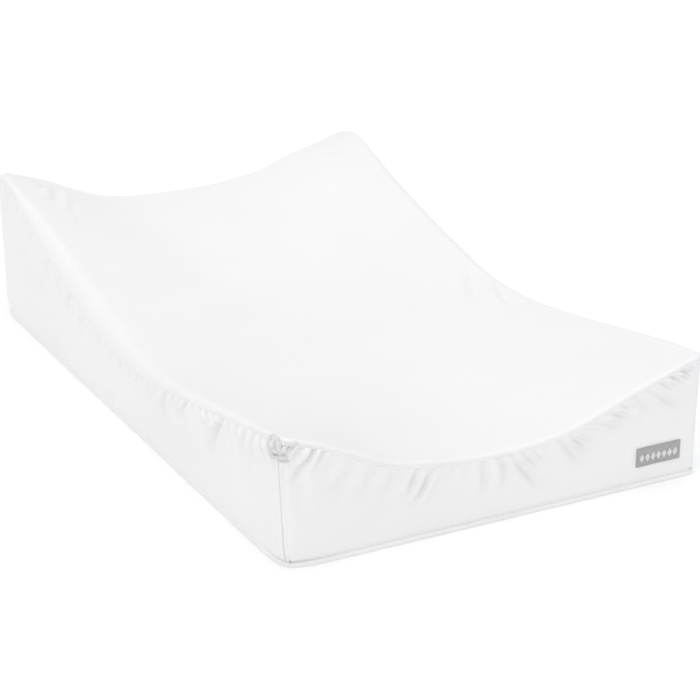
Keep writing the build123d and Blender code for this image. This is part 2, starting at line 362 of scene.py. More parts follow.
LEFT_FOLDS = [
    (-340, -0.2, 22, 3.7, 2.6, 0.35), (-300, -0.3, 26, 4.7, 2.6, 0.35),
    (-258, -0.5, 28, 5.2, 3.5, 0.35), (-209, -0.5, 48, 6.3, 4.8, 0.35),
    (-176, -0.4, 33, 4.7, 3, 0.35), (-145, -0.4, 41, 5.2, 5.3, 0.35),
    (-105, -0.6, 41, 5.2, 4.5, 0.35), (-60, -0.3, 26, 4.2, 2.6, 0.35),
    (-28, -0.2, 17, 3.7, 2.6, 0.35), (-3, -0.3, 22, 3.4, 3.5, 0.35),
    (19, 0.1, 19, 3.1, 4.1, 0.35), (40, 0.05, 24, 3.6, 4.2, 0.35), (55, 0, 15, 3.1, 2.5, 0.35),
    (69, 0.1, 22, 3.4, 4.6, 0.35), (88, 0.1, 17, 3.4, 3.5, 0.35), (112, -0.1, 40, 6.2, 8, 0.4),
    (132, 0.1, 19, 4, 4.1, 0.35), (148, 0, 17, 3.8, 3.5, 0.35),
    (164, -0.1, 26, 4.3, 7.6, 0.35), (180, 0.2, 17, 3.8, 3.6, 0.35),
    (197, 0.5, 17, 3.8, 4.8, 0.35), (211, 0.6, 17, 3.5, 4.8, 0.35),
    (227, 0.7, 15, 3.5, 4.1, 0.35), (249, -0.8, 50, 6.2, 7.2, 0.35),
    (262, 0, 33, 3.5, 3.5, 0.35), (280, 0.1, 19, 4, 5.4, 0.35),
    (297, 0.05, 37, 4, 7.2, 0.35), (316, 0, 35, 4, 7.2, 0.35),
    (331, 0.4, 22, 4, 6, 0.35), (345, 0.5, 24, 4.4, 5.8, 0.35),
    (357, 0.2, 19, 4, 4.8, 0.35),
]


def scattered_folds(seed, half_length, spacing):
    """Folds of the same kind for the walls at the back, placed by seeded draws. Lengths in mm."""
    draw = random.Random(seed)
    folds = []
    at = -half_length + 12
    while at < half_length - 10:
        depth = 1.3 + 3.4 * draw.random() ** 2
        shape = [draw.uniform(*limits) for limits in ((-0.5, 0.5), (14, 40), (2.8, 4.6))]
        folds.append((at, *shape, depth, draw.uniform(0.1, 0.5)))
        at += spacing * draw.uniform(0.5, 1.5)
    return folds


WALL_FOLDS = {
    "foot": FOOT_FOLDS, "left": LEFT_FOLDS,
    "right": scattered_folds(31, 360, 24), "head": scattered_folds(17, 212, 26),
}


def fold_depth(folds, s, depth):
    """How far folds push the cloth out (positive) or in, at depth below the seam."""
    total = np.zeros_like(depth)
    for at, lean, length, half, height, deepest in folds:
        along = depth / (length * MM)
        across = (s - at * MM - lean * depth) / (half * MM * (0.85 + 0.35 * along))
        start = 0.25 + 0.75 * smooth(along, -0.02, deepest)
        ending = 1 - smooth(along, deepest, 1.15)
        ridge = 0.55 * (np.exp(-((across - 1.7) ** 2)) + np.exp(-((across + 1.7) ** 2)))
        total += height * MM * start * ending * (ridge - np.exp(-(across**2)))
    return total


# ---- Cover panels

WALL_SPACING = 2.0 * MM
WALL_ROWS, HEM_ROWS = 52, 10
# Long and short waves of the filled walls: height, seed and lengths
WALL_WAVES = ((0.9 * MM, 5, (0.15, 0.08)), (0.35 * MM, 15, (0.045, 0.03)))
SEAM_TUCK, SEAM_TUCK_REACH = 0.5 * MM, 1.2 * MM
SEAM_OVERLAP = 0.2 * MM  # each panel runs this far past the top seam
HEM_TOP, HEM_Z, HEM_BOTTOM, HEM_HALF = 9 * MM, 4.6 * MM, 2.5 * MM, 2.3 * MM
# How far each wall is drawn in above the bead, how much more at one end, and how far that reaches
HEM_RECESS = {
    "foot": (1.3 * MM, 1.3 * MM, 0.040), "left": (0.3 * MM, 1.8 * MM, 0.030),
    "right": (0.5 * MM, 0, 0.040), "head": (0.7 * MM, 0, 0.040),
}
ZIP_Z = (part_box("zip_coil_upper")[0][2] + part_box("zip_coil_lower")[1][2]) / 2
SLOT_HALF_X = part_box("zip_coil_upper")[1][0] + 5 * MM
SLOT_HALF_Z = 5 * MM
SLOT_ROW_GAP = 1.6 * MM
WALL_FLARE = 1.2 * MM
DRAWN_IN, DRAWN_IN_HEIGHT = 5.0 * MM, 12 * MM
DRAWN_IN_REACH = {1: 16 * MM, -1: 18 * MM}  # at the head and the foot
CORNERS = {"foot_left": (-1, -1), "head_left": (-1, 1), "foot_right": (1, -1), "head_right": (1, 1)}
# The corners at each wall's two ends, seen from outside left and right
WALL_CORNERS = {
    "foot": ("foot_left", "foot_right"), "right": ("foot_right", "head_right"),
    "head": ("head_right", "head_left"), "left": ("head_left", "foot_left"),
}
CORNER_GROOVE, SLIGHT_GROOVE, GROOVE_HALF = 2.6 * MM, 0.4 * MM, 1.0 * MM


def wall_flare(z):
    """The filled walls lean out a little towards the top."""
    return WALL_FLARE * smooth(z, 0.02, 0.12)


def drawn_in(x, y, z):
    """How far the cloth is drawn in round the foot of the two left corners."""
    total = 0
    for y_sign, reach in DRAWN_IN_REACH.items():
        away = np.hypot(x + HALF_W - 3 * MM, y - y_sign * (HALF_L - 3 * MM))
        total = total + DRAWN_IN * np.exp(-((away / reach) ** 2))
    return total * np.exp(-((z / DRAWN_IN_HEIGHT) ** 2))


def hem_recess(side, s):
    """How far the wall is drawn in above the bottom bead."""
    base, extra, reach = HEM_RECESS[side]
    from_corner = s - s[:, :1] if side == "foot" else s[:, -1:] - s
    return base + extra * np.exp(-((from_corner / reach) ** 2))


def wall_points(side):
    """A wall's grid of points, from the top seam down to the bead."""
    x, y, nx, ny, s = (row[None, :] for row in outline(side, WALL_SPACING, fine_ends=True))
    seam = seam_height(x, y) - SEAM_OVERLAP
    z = seam + (HEM_TOP - seam) * np.linspace(0, 1, WALL_ROWS)[:, None] ** 1.5
    if side == "head":
        slot_rows(z)
    hem_rows = np.linspace(HEM_TOP, HEM_BOTTOM, HEM_ROWS)[1:, None]
    z = np.concatenate([z, np.repeat(hem_rows, s.size, axis=1)])
    depth = seam - z
    hem = np.where(z < HEM_Z, 1, np.exp(-(((z - HEM_Z) / HEM_HALF) ** 2)))
    out = wall_flare(z) - SEAM_TUCK * np.exp(-depth / SEAM_TUCK_REACH) - hem_recess(side, s) * hem
    from_end = np.minimum(s - s[:, :1], s[:, -1:] - s)
    belly = smooth(depth, 0, 0.02) * smooth(z, 0.006, 0.03) * smooth(from_end, 0.003, 0.030)
    for height, seed, scales in WALL_WAVES:
        out = out + height * belly * waves(s, z, seed + len(side), scales)
    out = out + fold_depth(WALL_FOLDS[side], s, depth) * smooth(z, 0.008, 0.02)
    if side == "foot":
        out = np.where(near_label(x, z), flat_label(out, z), out)
    out = out - corner_groove(side, s, z) - drawn_in(x, y, z)
    return np.stack([x + nx * out, y + ny * out, z], axis=-1)


def corner_groove(side, s, z):
    """The walls are drawn in beside the bindings at their two ends, deepest at the foot left."""
    past = END_OVERLAP if side in ("foot", "head") else 0
    total = np.zeros_like(z)
    for corner, into in zip(WALL_CORNERS[side], (1, -1)):
        from_corner = (s - s[:, :1] if into > 0 else s[:, -1:] - s) - past
        middle, half = binding_place(corner, z)
        edge = half + into * middle
        depth = CORNER_GROOVE if side == "left" and corner == "foot_left" else SLIGHT_GROOVE
        total = total + depth * np.exp(-(((from_corner - edge) / GROOVE_HALF) ** 2))
        total = total + SLIGHT_GROOVE * (1 - smooth(from_corner, -1.5 * MM, 0.5 * MM))
    return total


def binding_place(corner, z):
    """Where a corner's binding has its middle, along the seam, and its half width."""
    if corner == "foot_left":
        up = smooth(z, 0.0, 0.12)
        return (-0.5 - 2.7 * up) * MM, (1.9 + 1.7 * up) * MM
    return 0 * z, 2.6 * MM + 0 * z


def near_label(x, z):
    low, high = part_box("foot_label")
    pad = 3 * MM
    return (x > low[0] - pad) & (x < high[0] + pad) & (z > low[2] - pad) & (z < high[2] + pad)


def flat_label(out, z):
    """The label's stiff weave holds the cloth behind it nearly flat."""
    return wall_flare(z) + 0.15 * (out - wall_flare(z))


def slot_rows(z):
    """Moves the nearest rows of the head wall onto the two edges of the zip's slot."""
    for edge in (ZIP_Z + SLOT_HALF_Z, ZIP_Z - SLOT_HALF_Z):
        row = int(np.median(np.argmin(np.abs(z - edge), axis=0)))
        z[row] = edge
        for step in (-1, 1):
            z[row + step] = z[row + step] * 0.5 + (edge - step * SLOT_ROW_GAP) * 0.5


def make_wall(side, points):
    rows, cols = points.shape[:2]
    flat = points.reshape(-1, 3)
    faces = [face[::-1] for face in grid_faces(rows, cols)]

    def in_slot(face):
        middle = flat[list(face)].mean(axis=0)
        return abs(middle[0]) < SLOT_HALF_X and abs(middle[2] - ZIP_Z) < SLOT_HALF_Z

    if side == "head":
        faces = [face for face in faces if not in_slot(face)]
    return new_object(f"cover_{side}_cloth", flat, faces)


EDGE_STEPS = (0, 0.3, 0.8, 1.5, 2.4, 3.5, 4.8, 6.4, 8.2, 10.2, 12.5, 15, 18)


def axis_steps(half, coarse=3.0 * MM):
    """Grid places across the plan, closer together near both edges."""
    inner_half = half - EDGE_STEPS[-1] * MM
    inner = np.linspace(-inner_half, inner_half, int(round(2 * inner_half / coarse)) + 1)
    outer = [half - step * MM for step in EDGE_STEPS[:-1]]
    return np.concatenate([[-place for place in outer], inner, outer[::-1]])


# Dents in the lying surface: place (mm), direction (degrees from +X), half length, half width and
# depth (mm)
TOP_DENTS = [
    (-189, 341, 25, 9, 2.4, 1.8), (-184, 331, 31, 11, 2.6, 3.2), (-172, 319, 66, 20, 5, 3.8),
    (-181, 306, 20, 8, 2.6, 1.6), (-163, 288, 60, 14, 4, 1.8), (-168, 262, 55, 12, 3, 1.2),
    (186, -14, 64, 46, 8, 3.4), (200, -54, 73, 32, 5.5, 3),
    (186, 322, 130, 16, 4, 1.6), (-188, 198, 20, 10, 3.6, 0.9),
]


def top_dents(x, y):
    total = np.zeros_like(x)
    for at_x, at_y, turn, half_long, half_wide, depth in TOP_DENTS:
        c, d = turned(turn)
        along = ((x - at_x * MM) * c + (y - at_y * MM) * d) / (half_long * MM)
        across = (-(x - at_x * MM) * d + (y - at_y * MM) * c) / (half_wide * MM)
        banks = 0.5 * np.exp(-((np.abs(across) - 1.9) ** 2))
        shape = np.exp(-(along**2)) * (banks - np.exp(-(across**2)))
        total += depth * MM * shape
    return total


ROLL_LEAST, ROLL_SHARE, ROLL_OVER_SEAM = 0.004, 0.6, 2.4 * MM


def rolled_off(x, y, depth):
    """The rolled edge's fall at a depth inside the outline, and the share of the way round it."""
    drop = seam_drop(x, y)
    reach = ROLL_LEAST + ROLL_SHARE * (drop - SEAM_DROP) + FULL_CORNER_ROLL * full_corner(x, y)
    share = np.clip(1 - depth / reach, 0, 1)
    return (drop - ROLL_OVER_SEAM) * (1 - np.sqrt(np.clip(1 - share**2, 0, None))), share


SKIRT_ROWS = 6
TOP_GATHER_REACH = 0.035  # further in, the top panel lies still


def add_skirt(verts, faces, ring):
    """Turns the cloth down from its edge to the top seam. ring: the edge's vertex numbers."""
    edge = np.array([verts[k] for k in ring])
    nx, ny = outward(edge[:, 0], edge[:, 1])
    seam = seam_height(edge[:, 0], edge[:, 1]) + SEAM_OVERLAP
    count = len(ring)
    previous = ring
    for k in range(1, SKIRT_ROWS + 1):
        t = k / SKIRT_ROWS
        out = -SEAM_TUCK * t**2
        current = list(range(len(verts), len(verts) + count))
        verts += zip(edge[:, 0] + nx * out, edge[:, 1] + ny * out, edge[:, 2] + (seam - edge[:, 2]) * t)
        for m in range(count):
            n = (m + 1) % count
            faces.append((previous[m], current[m], current[n], previous[n]))
        previous = current


def make_top():
    """The top panel, the numbers of its held vertices and its growth at each vertex."""
    x, y, depth = to_rounded(*np.meshgrid(axis_steps(HALF_W), axis_steps(HALF_L)))
    fall, share = rolled_off(x, y, depth)
    z = lying_height(x, y) - fall + top_dents(x, y)
    z = z + 0.35 * MM * waves(x, y, 3, (0.22, 0.12)) * smooth(depth, 0, 0.03)
    near_edge = np.exp(-((depth - 6 * MM) / (6 * MM)) ** 2)
    z = z + 0.30 * MM * waves(x, y, 7, (0.030, 0.016)) * near_edge
    lean_x, lean_y = outward(x, y)
    out = wall_flare(z) * share**2
    x, y = x + lean_x * out, y + lean_y * out
    rows, cols = z.shape
    verts = list(np.stack([x, y, z], axis=-1).reshape(-1, 3))
    faces = grid_faces(rows, cols)
    numbers = np.arange(rows * cols).reshape(rows, cols)
    ring = np.concatenate([numbers[0], numbers[1:, -1], numbers[-1, -2::-1], numbers[-2:0:-1, 0]])
    add_skirt(verts, faces, ring.tolist())
    held = list(range(len(verts) - 2 * len(ring), len(verts)))
    held += list(np.nonzero((depth > TOP_GATHER_REACH).ravel())[0])
    growth = np.zeros(len(verts))
    growth[: rows * cols] = (0.45 * np.exp(-((depth - 5 * MM) / (9 * MM)) ** 2)).ravel()
    return new_object("cover_top_cloth", verts, faces), held, growth


# ---- Cloth simulation

CLOTH_FRAMES = 14
CLOTH_SETTINGS = {
    "quality": 6, "mass": 0.25, "tension_stiffness": 18, "compression_stiffness": 18,
    "shear_stiffness": 6, "bending_stiffness": 0.35, "air_damping": 2.0,
    "vertex_group_mass": "held", "vertex_group_shrink": "gathered",
    "shrink_min": 0.0, "shrink_max": -0.14,
}
LEAST_GROWTH = 0.01
MOVE_CAP = 5.0 * MM
INWARD_CAP = 1.2 * MM


def add_cloth(piece, held, growth):
    pin = piece.vertex_groups.new(name="held")
    pin.add([int(i) for i in held], 1.0, "REPLACE")
    grow = piece.vertex_groups.new(name="gathered")
    for i in np.nonzero(growth > LEAST_GROWTH)[0]:
        grow.add([int(i)], float(growth[i]), "REPLACE")
    cloth = piece.modifiers.new("cloth", "CLOTH")
    for name, value in CLOTH_SETTINGS.items():
        setattr(cloth.settings, name, value)
    cloth.settings.effector_weights.gravity = 0
    cloth.collision_settings.use_collision = False
    cloth.point_cache.frame_start = 1
    cloth.point_cache.frame_end = CLOTH_FRAMES


def simulate_gathers(jobs):
    """Runs the cloth of all panels at once: it grows where it is gathered, so it buckles between
    the seams that hold it. jobs: piece -> (held ids, growth per vertex)."""
    scene = bpy.context.scene
    starts = {}
    for piece, (held, growth) in jobs.items():
        starts[piece] = read_points(piece.data)
        add_cloth(piece, held, growth)
    for number in range(1, CLOTH_FRAMES + 1):
        scene.frame_set(number)
    graph = bpy.context.evaluated_depsgraph_get()
    for piece, start in starts.items():
        shift = read_points(piece.evaluated_get(graph).data) - start
        normals = read_points(piece.data, "normal")
        length = np.linalg.norm(shift, axis=1, keepdims=True)
        shift *= np.minimum(1, MOVE_CAP / np.maximum(length, 1e-9))
        out = np.sum(shift * normals, axis=1, keepdims=True)
        shift -= normals * np.minimum(out + INWARD_CAP, 0)
        piece.modifiers.clear()
        write_points(piece, start + shift)
    scene.frame_set(1)


def wall_gather(points, side):
    """Held vertices and growth for one wall's grid: most growth where its folds are deep."""
    rows, cols = points.shape[:2]
    ids = np.arange(rows * cols).reshape(rows, cols)
    held = np.unique(np.concatenate([ids[0], ids[-1], ids[-2], ids[:, 0], ids[:, -1]]))
    depth = points[0, :, 2][None, :] - points[:, :, 2]
    s = outline(side, WALL_SPACING, fine_ends=True)[4]
    strength = np.zeros(cols)
    for at, _, _, half, height, _ in WALL_FOLDS[side]:
        strength += height / 2.6 * np.exp(-(((s - at * MM) / (3 * half * MM)) ** 2))
    strength = np.clip(strength, 0.12, 1)
    growth = strength[None, :] * np.exp(-((depth / (24 * MM)) ** 2))
    growth = growth * smooth(points[:, :, 2], 0.012, 0.030)
    return held, growth.ravel()


# ---- Trim


def ring_points(spacing):
    """The outline all the way round, without the doubled corner points."""
    parts = [outline(side, spacing) for side in SIDES]
    return [np.concatenate([part[k][:-1] for part in parts]) for k in range(4)]


def sweep_ring(name, x, y, z, nx, ny, profile, swell=1.0):
    """A closed strip round the pad. profile: (out, up) pairs round a closed section."""
    verts = []
    for out, up in profile:
        verts.append(np.stack([x + nx * out * swell, y + ny * out * swell, z + up * swell], axis=-1))
    grid = np.stack(verts, axis=1)
    faces = grid_faces(len(x), len(profile), close_rows=True, close_cols=True)
    return new_object(name, grid.reshape(-1, 3), faces)


def oval(half_out, half_up, count=10):
    return [(half_out * math.cos(a), half_up * math.sin(a)) for a in angles_round(count)]


def make_welt():
    spacing, half_out, half_up = 2.0 * MM, 0.9 * MM, 1.2 * MM
    x, y, nx, ny = ring_points(spacing)
    s = np.arange(len(x)) * spacing
    z = seam_height(x, y) + 0.25 * MM * waves(s, 0 * s, 41, (0.030, 0.011))
    out = wall_flare(z) - 0.65 * MM
    swell = 1 + 0.08 * waves(s, 0 * s, 42, (0.012, 0.007))
    profile = oval(half_out, half_up)[::-1]
    return sweep_ring("top_seam_piping", x + nx * out, y + ny * out, z, nx, ny, profile, swell)


# The bead's section: out and up (mm)
BEAD_PROFILE = [
    (-2.6, 0), (0.8, 0), (0.95, 0.4), (1, 1.2), (1, 2.2), (0.7, 3.1), (0, 3.7), (-0.8, 3.9),
    (-2.6, 3.8),
]
BEAD_LIFT = 0.1 * MM


def make_binding():
    x, y, nx, ny = ring_points(3.0 * MM)
    profile = [(out * MM, up * MM) for out, up in BEAD_PROFILE]
    inward = drawn_in(x, y, 0)
    x, y = x - inward * nx, y - inward * ny
    return sweep_ring("bottom_bead", x, y, 0 * x + BEAD_LIFT, nx, ny, profile[::-1])


def make_corner_seam(corner):
    """A flat binding down the corner, standing a little proud of the walls on both sides."""
    x_sign, y_sign = CORNERS[corner]
    rows, cols, half_thick = 70, 14, 1.1 * MM
    arc_x = x_sign * (HALF_W - CORNER_R)
    arc_y = y_sign * (HALF_L - CORNER_R)
    top_x = arc_x + CORNER_R * x_sign / math.sqrt(2)
    top_y = arc_y + CORNER_R * y_sign / math.sqrt(2)
    z = np.linspace(BINDING_H - 3 * MM, seam_height(top_x, top_y) - 0.5 * MM, rows)
    middle_angle = math.atan2(y_sign, x_sign)
    verts, faces = [], []
    for height, middle, half in zip(z, *binding_place(corner, z)):
        out = CORNER_R + wall_flare(height) - 0.8 * MM - drawn_in(top_x, top_y, height)
        sway = 0.25 * MM * math.sin(height / (13 * MM)) + 0.1 * MM * math.sin(height / (4.1 * MM))
        for normal_shift, side_share in oval(half_thick, 1.0, cols):
            angle = middle_angle + (middle + sway + side_share * half) / CORNER_R
            r = out + normal_shift
            verts.append((arc_x + math.cos(angle) * r, arc_y + math.sin(angle) * r, height))
    add_tube(faces, 0, rows, cols)
    return face_outward(new_object(f"corner_piping_{corner}", verts, faces))


def rounded_plan_sheet(name, lift):
    """A flat cloth over the whole plan."""
    spacing = 9 * MM
    x, y, _ = to_rounded(*np.meshgrid(axis_steps(HALF_W, spacing), axis_steps(HALF_L, spacing)))
    nx, ny = outward(x, y)
    inward = 1.25 * drawn_in(x, y, 0)
    x, y = x - inward * nx, y - inward * ny
    z = lift + 0.25 * MM * (1 + waves(x, y, 8, (0.15, 0.07)))
    return thicken(grid_object(name, x, y, z), 0.8 * MM)


# ---- Label


def label_surface(z):
    """Where the foot wall's cloth stands behind the label."""
    return -HALF_L - wall_flare(z) - 0.9 * MM


def make_label():
    low, high, gx, gz = node_grid("foot_label", 52, 24)
    edge = np.minimum(np.minimum(gx - low[0], high[0] - gx), np.minimum(gz - low[2], high[2] - gz))
    gy = label_surface(gz) - 0.45 * MM * smooth(edge, 0, 1.6 * MM)
    gy = gy - 0.15 * MM * waves(gx, gz, 12, (0.03,))
    return thicken(grid_object("woven_label", gx, gy, gz), 0.5 * MM)


def make_label_mark():
    """A plain woven pattern in place of a name: a row of small diamonds."""
    low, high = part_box("foot_label")
    mid_x, mid_z = (low[0] + high[0]) / 2, (low[2] + high[2]) / 2 - 1.0 * MM
    verts, faces = [], []
    around, pitch, half_wide, half_tall = 24, 6.4 * MM, 2.8 * MM, 4.6 * MM
    for k in range(-3, 4):
        first = len(verts)
        for size, rise in ((1.0, 0.0), (0.9, 0.20), (0.5, 0.32)):
            for angle in angles_round(around):
                c, d = math.cos(angle), math.sin(angle)
                reach = size / (abs(c) + abs(d)) ** 0.85
                z = mid_z + half_tall * reach * d
                y = label_surface(z) - (0.42 + rise) * MM
                verts.append((mid_x + k * pitch + half_wide * reach * c, y, z))
        add_tube(faces, first, 3, around)
    return face_outward(new_object("label_pattern", verts, faces))


STITCH_RISE, STITCH_HALF_WIDE = 0.28 * MM, 0.16 * MM


def stitch(verts, faces, start, end):
    """One sewing stitch on the foot wall: a short arched thread from start to end."""
    start, end, normal = Vector(start), Vector(end), Vector((0, -1, 0))
    across = (end - start).normalized().cross(normal).normalized()
    first = len(verts)
    rings, around = 5, 6
    for i in range(rings):
        t = i / (rings - 1)
        arch = STITCH_RISE * (1 - (2 * t - 1) ** 2)
        taper = 0.45 + 0.55 * math.sin(math.pi * t)
        middle = start.lerp(end, t) + normal * arch
        for angle in angles_round(around):
            offset = across * math.cos(angle) + normal * math.sin(angle)
            verts.append(middle + offset * STITCH_HALF_WIDE * taper)
    add_tube(faces, first, rings, around)


def make_label_stitches():
    low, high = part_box("foot_label")
    margin, pitch, length = 1.4 * MM, 2.6 * MM, 1.9 * MM
    verts, faces = [], []

    def sew(x, z, long_x, long_z):
        y = label_surface(z) - 0.35 * MM
        stitch(verts, faces, (x, y, z), (x + long_x, y, z + long_z))

    for z in (low[2] + margin, high[2] - margin):
        x = low[0] + margin
        while x + length < high[0] - margin / 2:
            sew(x, z, length, 0)
            x += pitch
    for x in (low[0] + margin, high[0] - margin):
        z = low[2] + margin + pitch / 2
        while z + length < high[2] - margin:
            sew(x, z, 0, length)
            z += pitch
    return new_object("label_stitches", verts, faces)


def make_care_label():
    low, high, gx, gz = node_grid("care_label", 31, 25)
    down = (high[2] - gz) / (high[2] - low[2])
    curl = 1.6 * MM * down**2 + 0.4 * MM * np.sin((gx - low[0]) / (high[0] - low[0]) * math.pi)
    gy = HALF_L + wall_flare(gz) + 0.9 * MM + curl
    return thicken(grid_object("care_tag", gx, gy, gz, flipped=True), 0.3 * MM)


# ---- Zip

# One loop of the coil, seen along the zip: up from its middle and out, in shares
COIL_LOOP = [
    (2.9, 0.15), (2.2, 0.75), (0.9, 1), (-0.35, 0.6), (-0.35, -0.2), (0.9, -0.75), (2.2, -0.7),
    (2.9, -0.1),
]
COIL_PITCH = 1.5 * MM
COIL_WIRE = 0.36 * MM


def make_zip_coil(name, node):
    """A nylon coil: one rounded loop per tooth, linked with the row it faces."""
    low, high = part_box(node)
    sign = 1 if (low[2] + high[2]) / 2 > ZIP_Z else -1
    middle_y = (low[1] + 0.1 * MM + high[1]) / 2
    verts, faces = [], []
    around = 5
    for k in range(int((high[0] - low[0]) / COIL_PITCH)):
        x = low[0] + (k + 0.5) * COIL_PITCH + (0.0 if sign > 0 else COIL_PITCH / 2)
        if x > high[0] - COIL_PITCH:
            break
        first = len(verts)
        for up, out in COIL_LOOP:
            px = x + 0.25 * MM * out
            py = middle_y + out * 0.75 * MM
            pz = ZIP_Z + sign * max(up, -0.3) * MM
            for angle in angles_round(around):
                verts.append((px + COIL_WIRE * math.cos(angle), py, pz + COIL_WIRE * math.sin(angle)))
        add_tube(faces, first, len(COIL_LOOP), around)
    return new_object(name, verts, faces)


def make_zip_tape(name, node):
    high, gx, gz = node_grid(node, 200, 10)[1:]
    gy = high[1] + 0.12 * MM * waves(gx, gz, 51, (0.05, 0.02)) - 0.15 * MM
    return thicken(grid_object(name, gx, gy, gz, flipped=True), 0.5 * MM)


# ---- Foam

# The deepest folds of the walls reach nearly this far in.
FOAM_INSET = 11.5 * MM
FOAM_UNDER_COVER = 3.5 * MM
FOAM_ROLL_SHIFT = 4 * MM  # the foam's edge rolls off this much further in than the cover's


def make_foam(node):
    """A block of foam with softened edges, pressed to the shape of the cover over it."""
    piece = add_object(node.replace("foam", "soft_foam"), bpy.data.objects[node].data.copy())
    piece.data.materials.clear()
    remesh(piece, 6 * MM, 0.5, 3)
    points = read_points(piece.data)
    x = np.clip(points[:, 0], -(HALF_W - FOAM_INSET), HALF_W - FOAM_INSET)
    y = np.clip(points[:, 1], -(HALF_L - FOAM_INSET), HALF_L - FOAM_INSET)
    depth = np.minimum(HALF_W - np.abs(x), HALF_L - np.abs(y))
    rolled = lying_height(x, y) - rolled_off(x, y, depth - FOAM_ROLL_SHIFT)[0]
    cover_z = rolled + np.minimum(top_dents(x, y), 0)
    z = np.minimum(points[:, 2], cover_z - FOAM_UNDER_COVER)
    write_points(piece, np.stack([x, y, z], axis=-1))
    return piece


# ---- The bunch of cloth at the foot left corner

BUNCH_LOBES = [
    # along the seam from the corner, up from the middle, off the walls, half sizes along, up and
    # out (mm) and how far the lobe is turned (degrees)
    (-19.8, -5.7, 1, 2.6, 7, 3.6, 0), (-11.6, 2.8, 1.2, 4.8, 2.2, 3.4, -10),
    (-4.1, -0.2, 1.6, 1.9, 5.8, 3.8, 25), (-17.1, -15.1, 0.8, 4.6, 3.4, 3.2, 0),
    (-8.4, -8.3, 1.4, 5.6, 2, 3.8, -8), (-1.4, -7.1, 1.6, 4.6, 2, 3.4, 22),
    (4.9, 0.4, 1, 7.2, 1.7, 2.8, 7), (-4.3, -12.6, 1.6, 8, 1.8, 3.8, 10),
    (-1.1, -16.4, 0.8, 5.6, 1.3, 2.8, 4), (3.2, -4.2, 0.8, 4.2, 1.5, 2.6, 32),
    (-13, -11.5, 1.2, 3.6, 1.7, 3.4, -25), (-11.5, -3, -0.9, 3.4, 3.8, 2, 0),
]


def bunch_frame(s):
    """Place, direction along the seam and direction out at s from the foot left corner, negative
    on the left wall."""
    quarter = CORNER_R * math.pi / 4
    bent = max(-quarter, min(quarter, s)) / CORNER_R
    angle = math.radians(225) + bent
    normal = Vector((math.cos(angle), math.sin(angle), 0))
    along = Vector((-math.sin(angle), math.cos(angle), 0))
    place = Vector((-(HALF_W - CORNER_R), -(HALF_L - CORNER_R), 0)) + normal * CORNER_R
    return place + along * (s - bent * CORNER_R), along, normal


def make_corner_bunch():
    """Surplus cloth pinched where the seams meet: folds round a hollow, and a short tail."""
    low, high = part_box("corner_gather")
    middle_z = (low[2] + high[2]) / 2
    verts, faces = [], []
    rings, around = 18, 28
    for number, (s, rise, off, long, tall, deep, turn) in enumerate(BUNCH_LOBES):
        place, along, normal = bunch_frame(s * MM)
        first = len(verts)
        c, d = turned(turn)
        for i in range(rings + 1):
            polar = math.pi * i / rings
            for angle in angles_round(around):
                px = math.cos(polar)
                py = math.sin(polar) * math.cos(angle)
                pz = math.sin(polar) * math.sin(angle)
                crease = 1 + 0.16 * math.sin(5 * angle + 2.3 * number) * math.sin(polar)
                crease += 0.12 * math.sin(9 * px + 3 * angle + number)
                crease += 0.07 * math.sin(17 * px - 4 * angle + 1.7 * number)
                a, b = px * long * crease, py * tall * crease
                point = place + along * ((a * c - b * d) * MM) + normal * ((off + pz * deep) * MM)
                verts.append((point.x, point.y, middle_z + (rise + a * d + b * c) * MM))
        add_tube(faces, first, rings + 1, around, capped=False)
    piece = new_object("corner_bunch", verts, faces)
    remesh(piece, 0.5 * MM, 0.4, 1)
    return piece


# ---- Materials


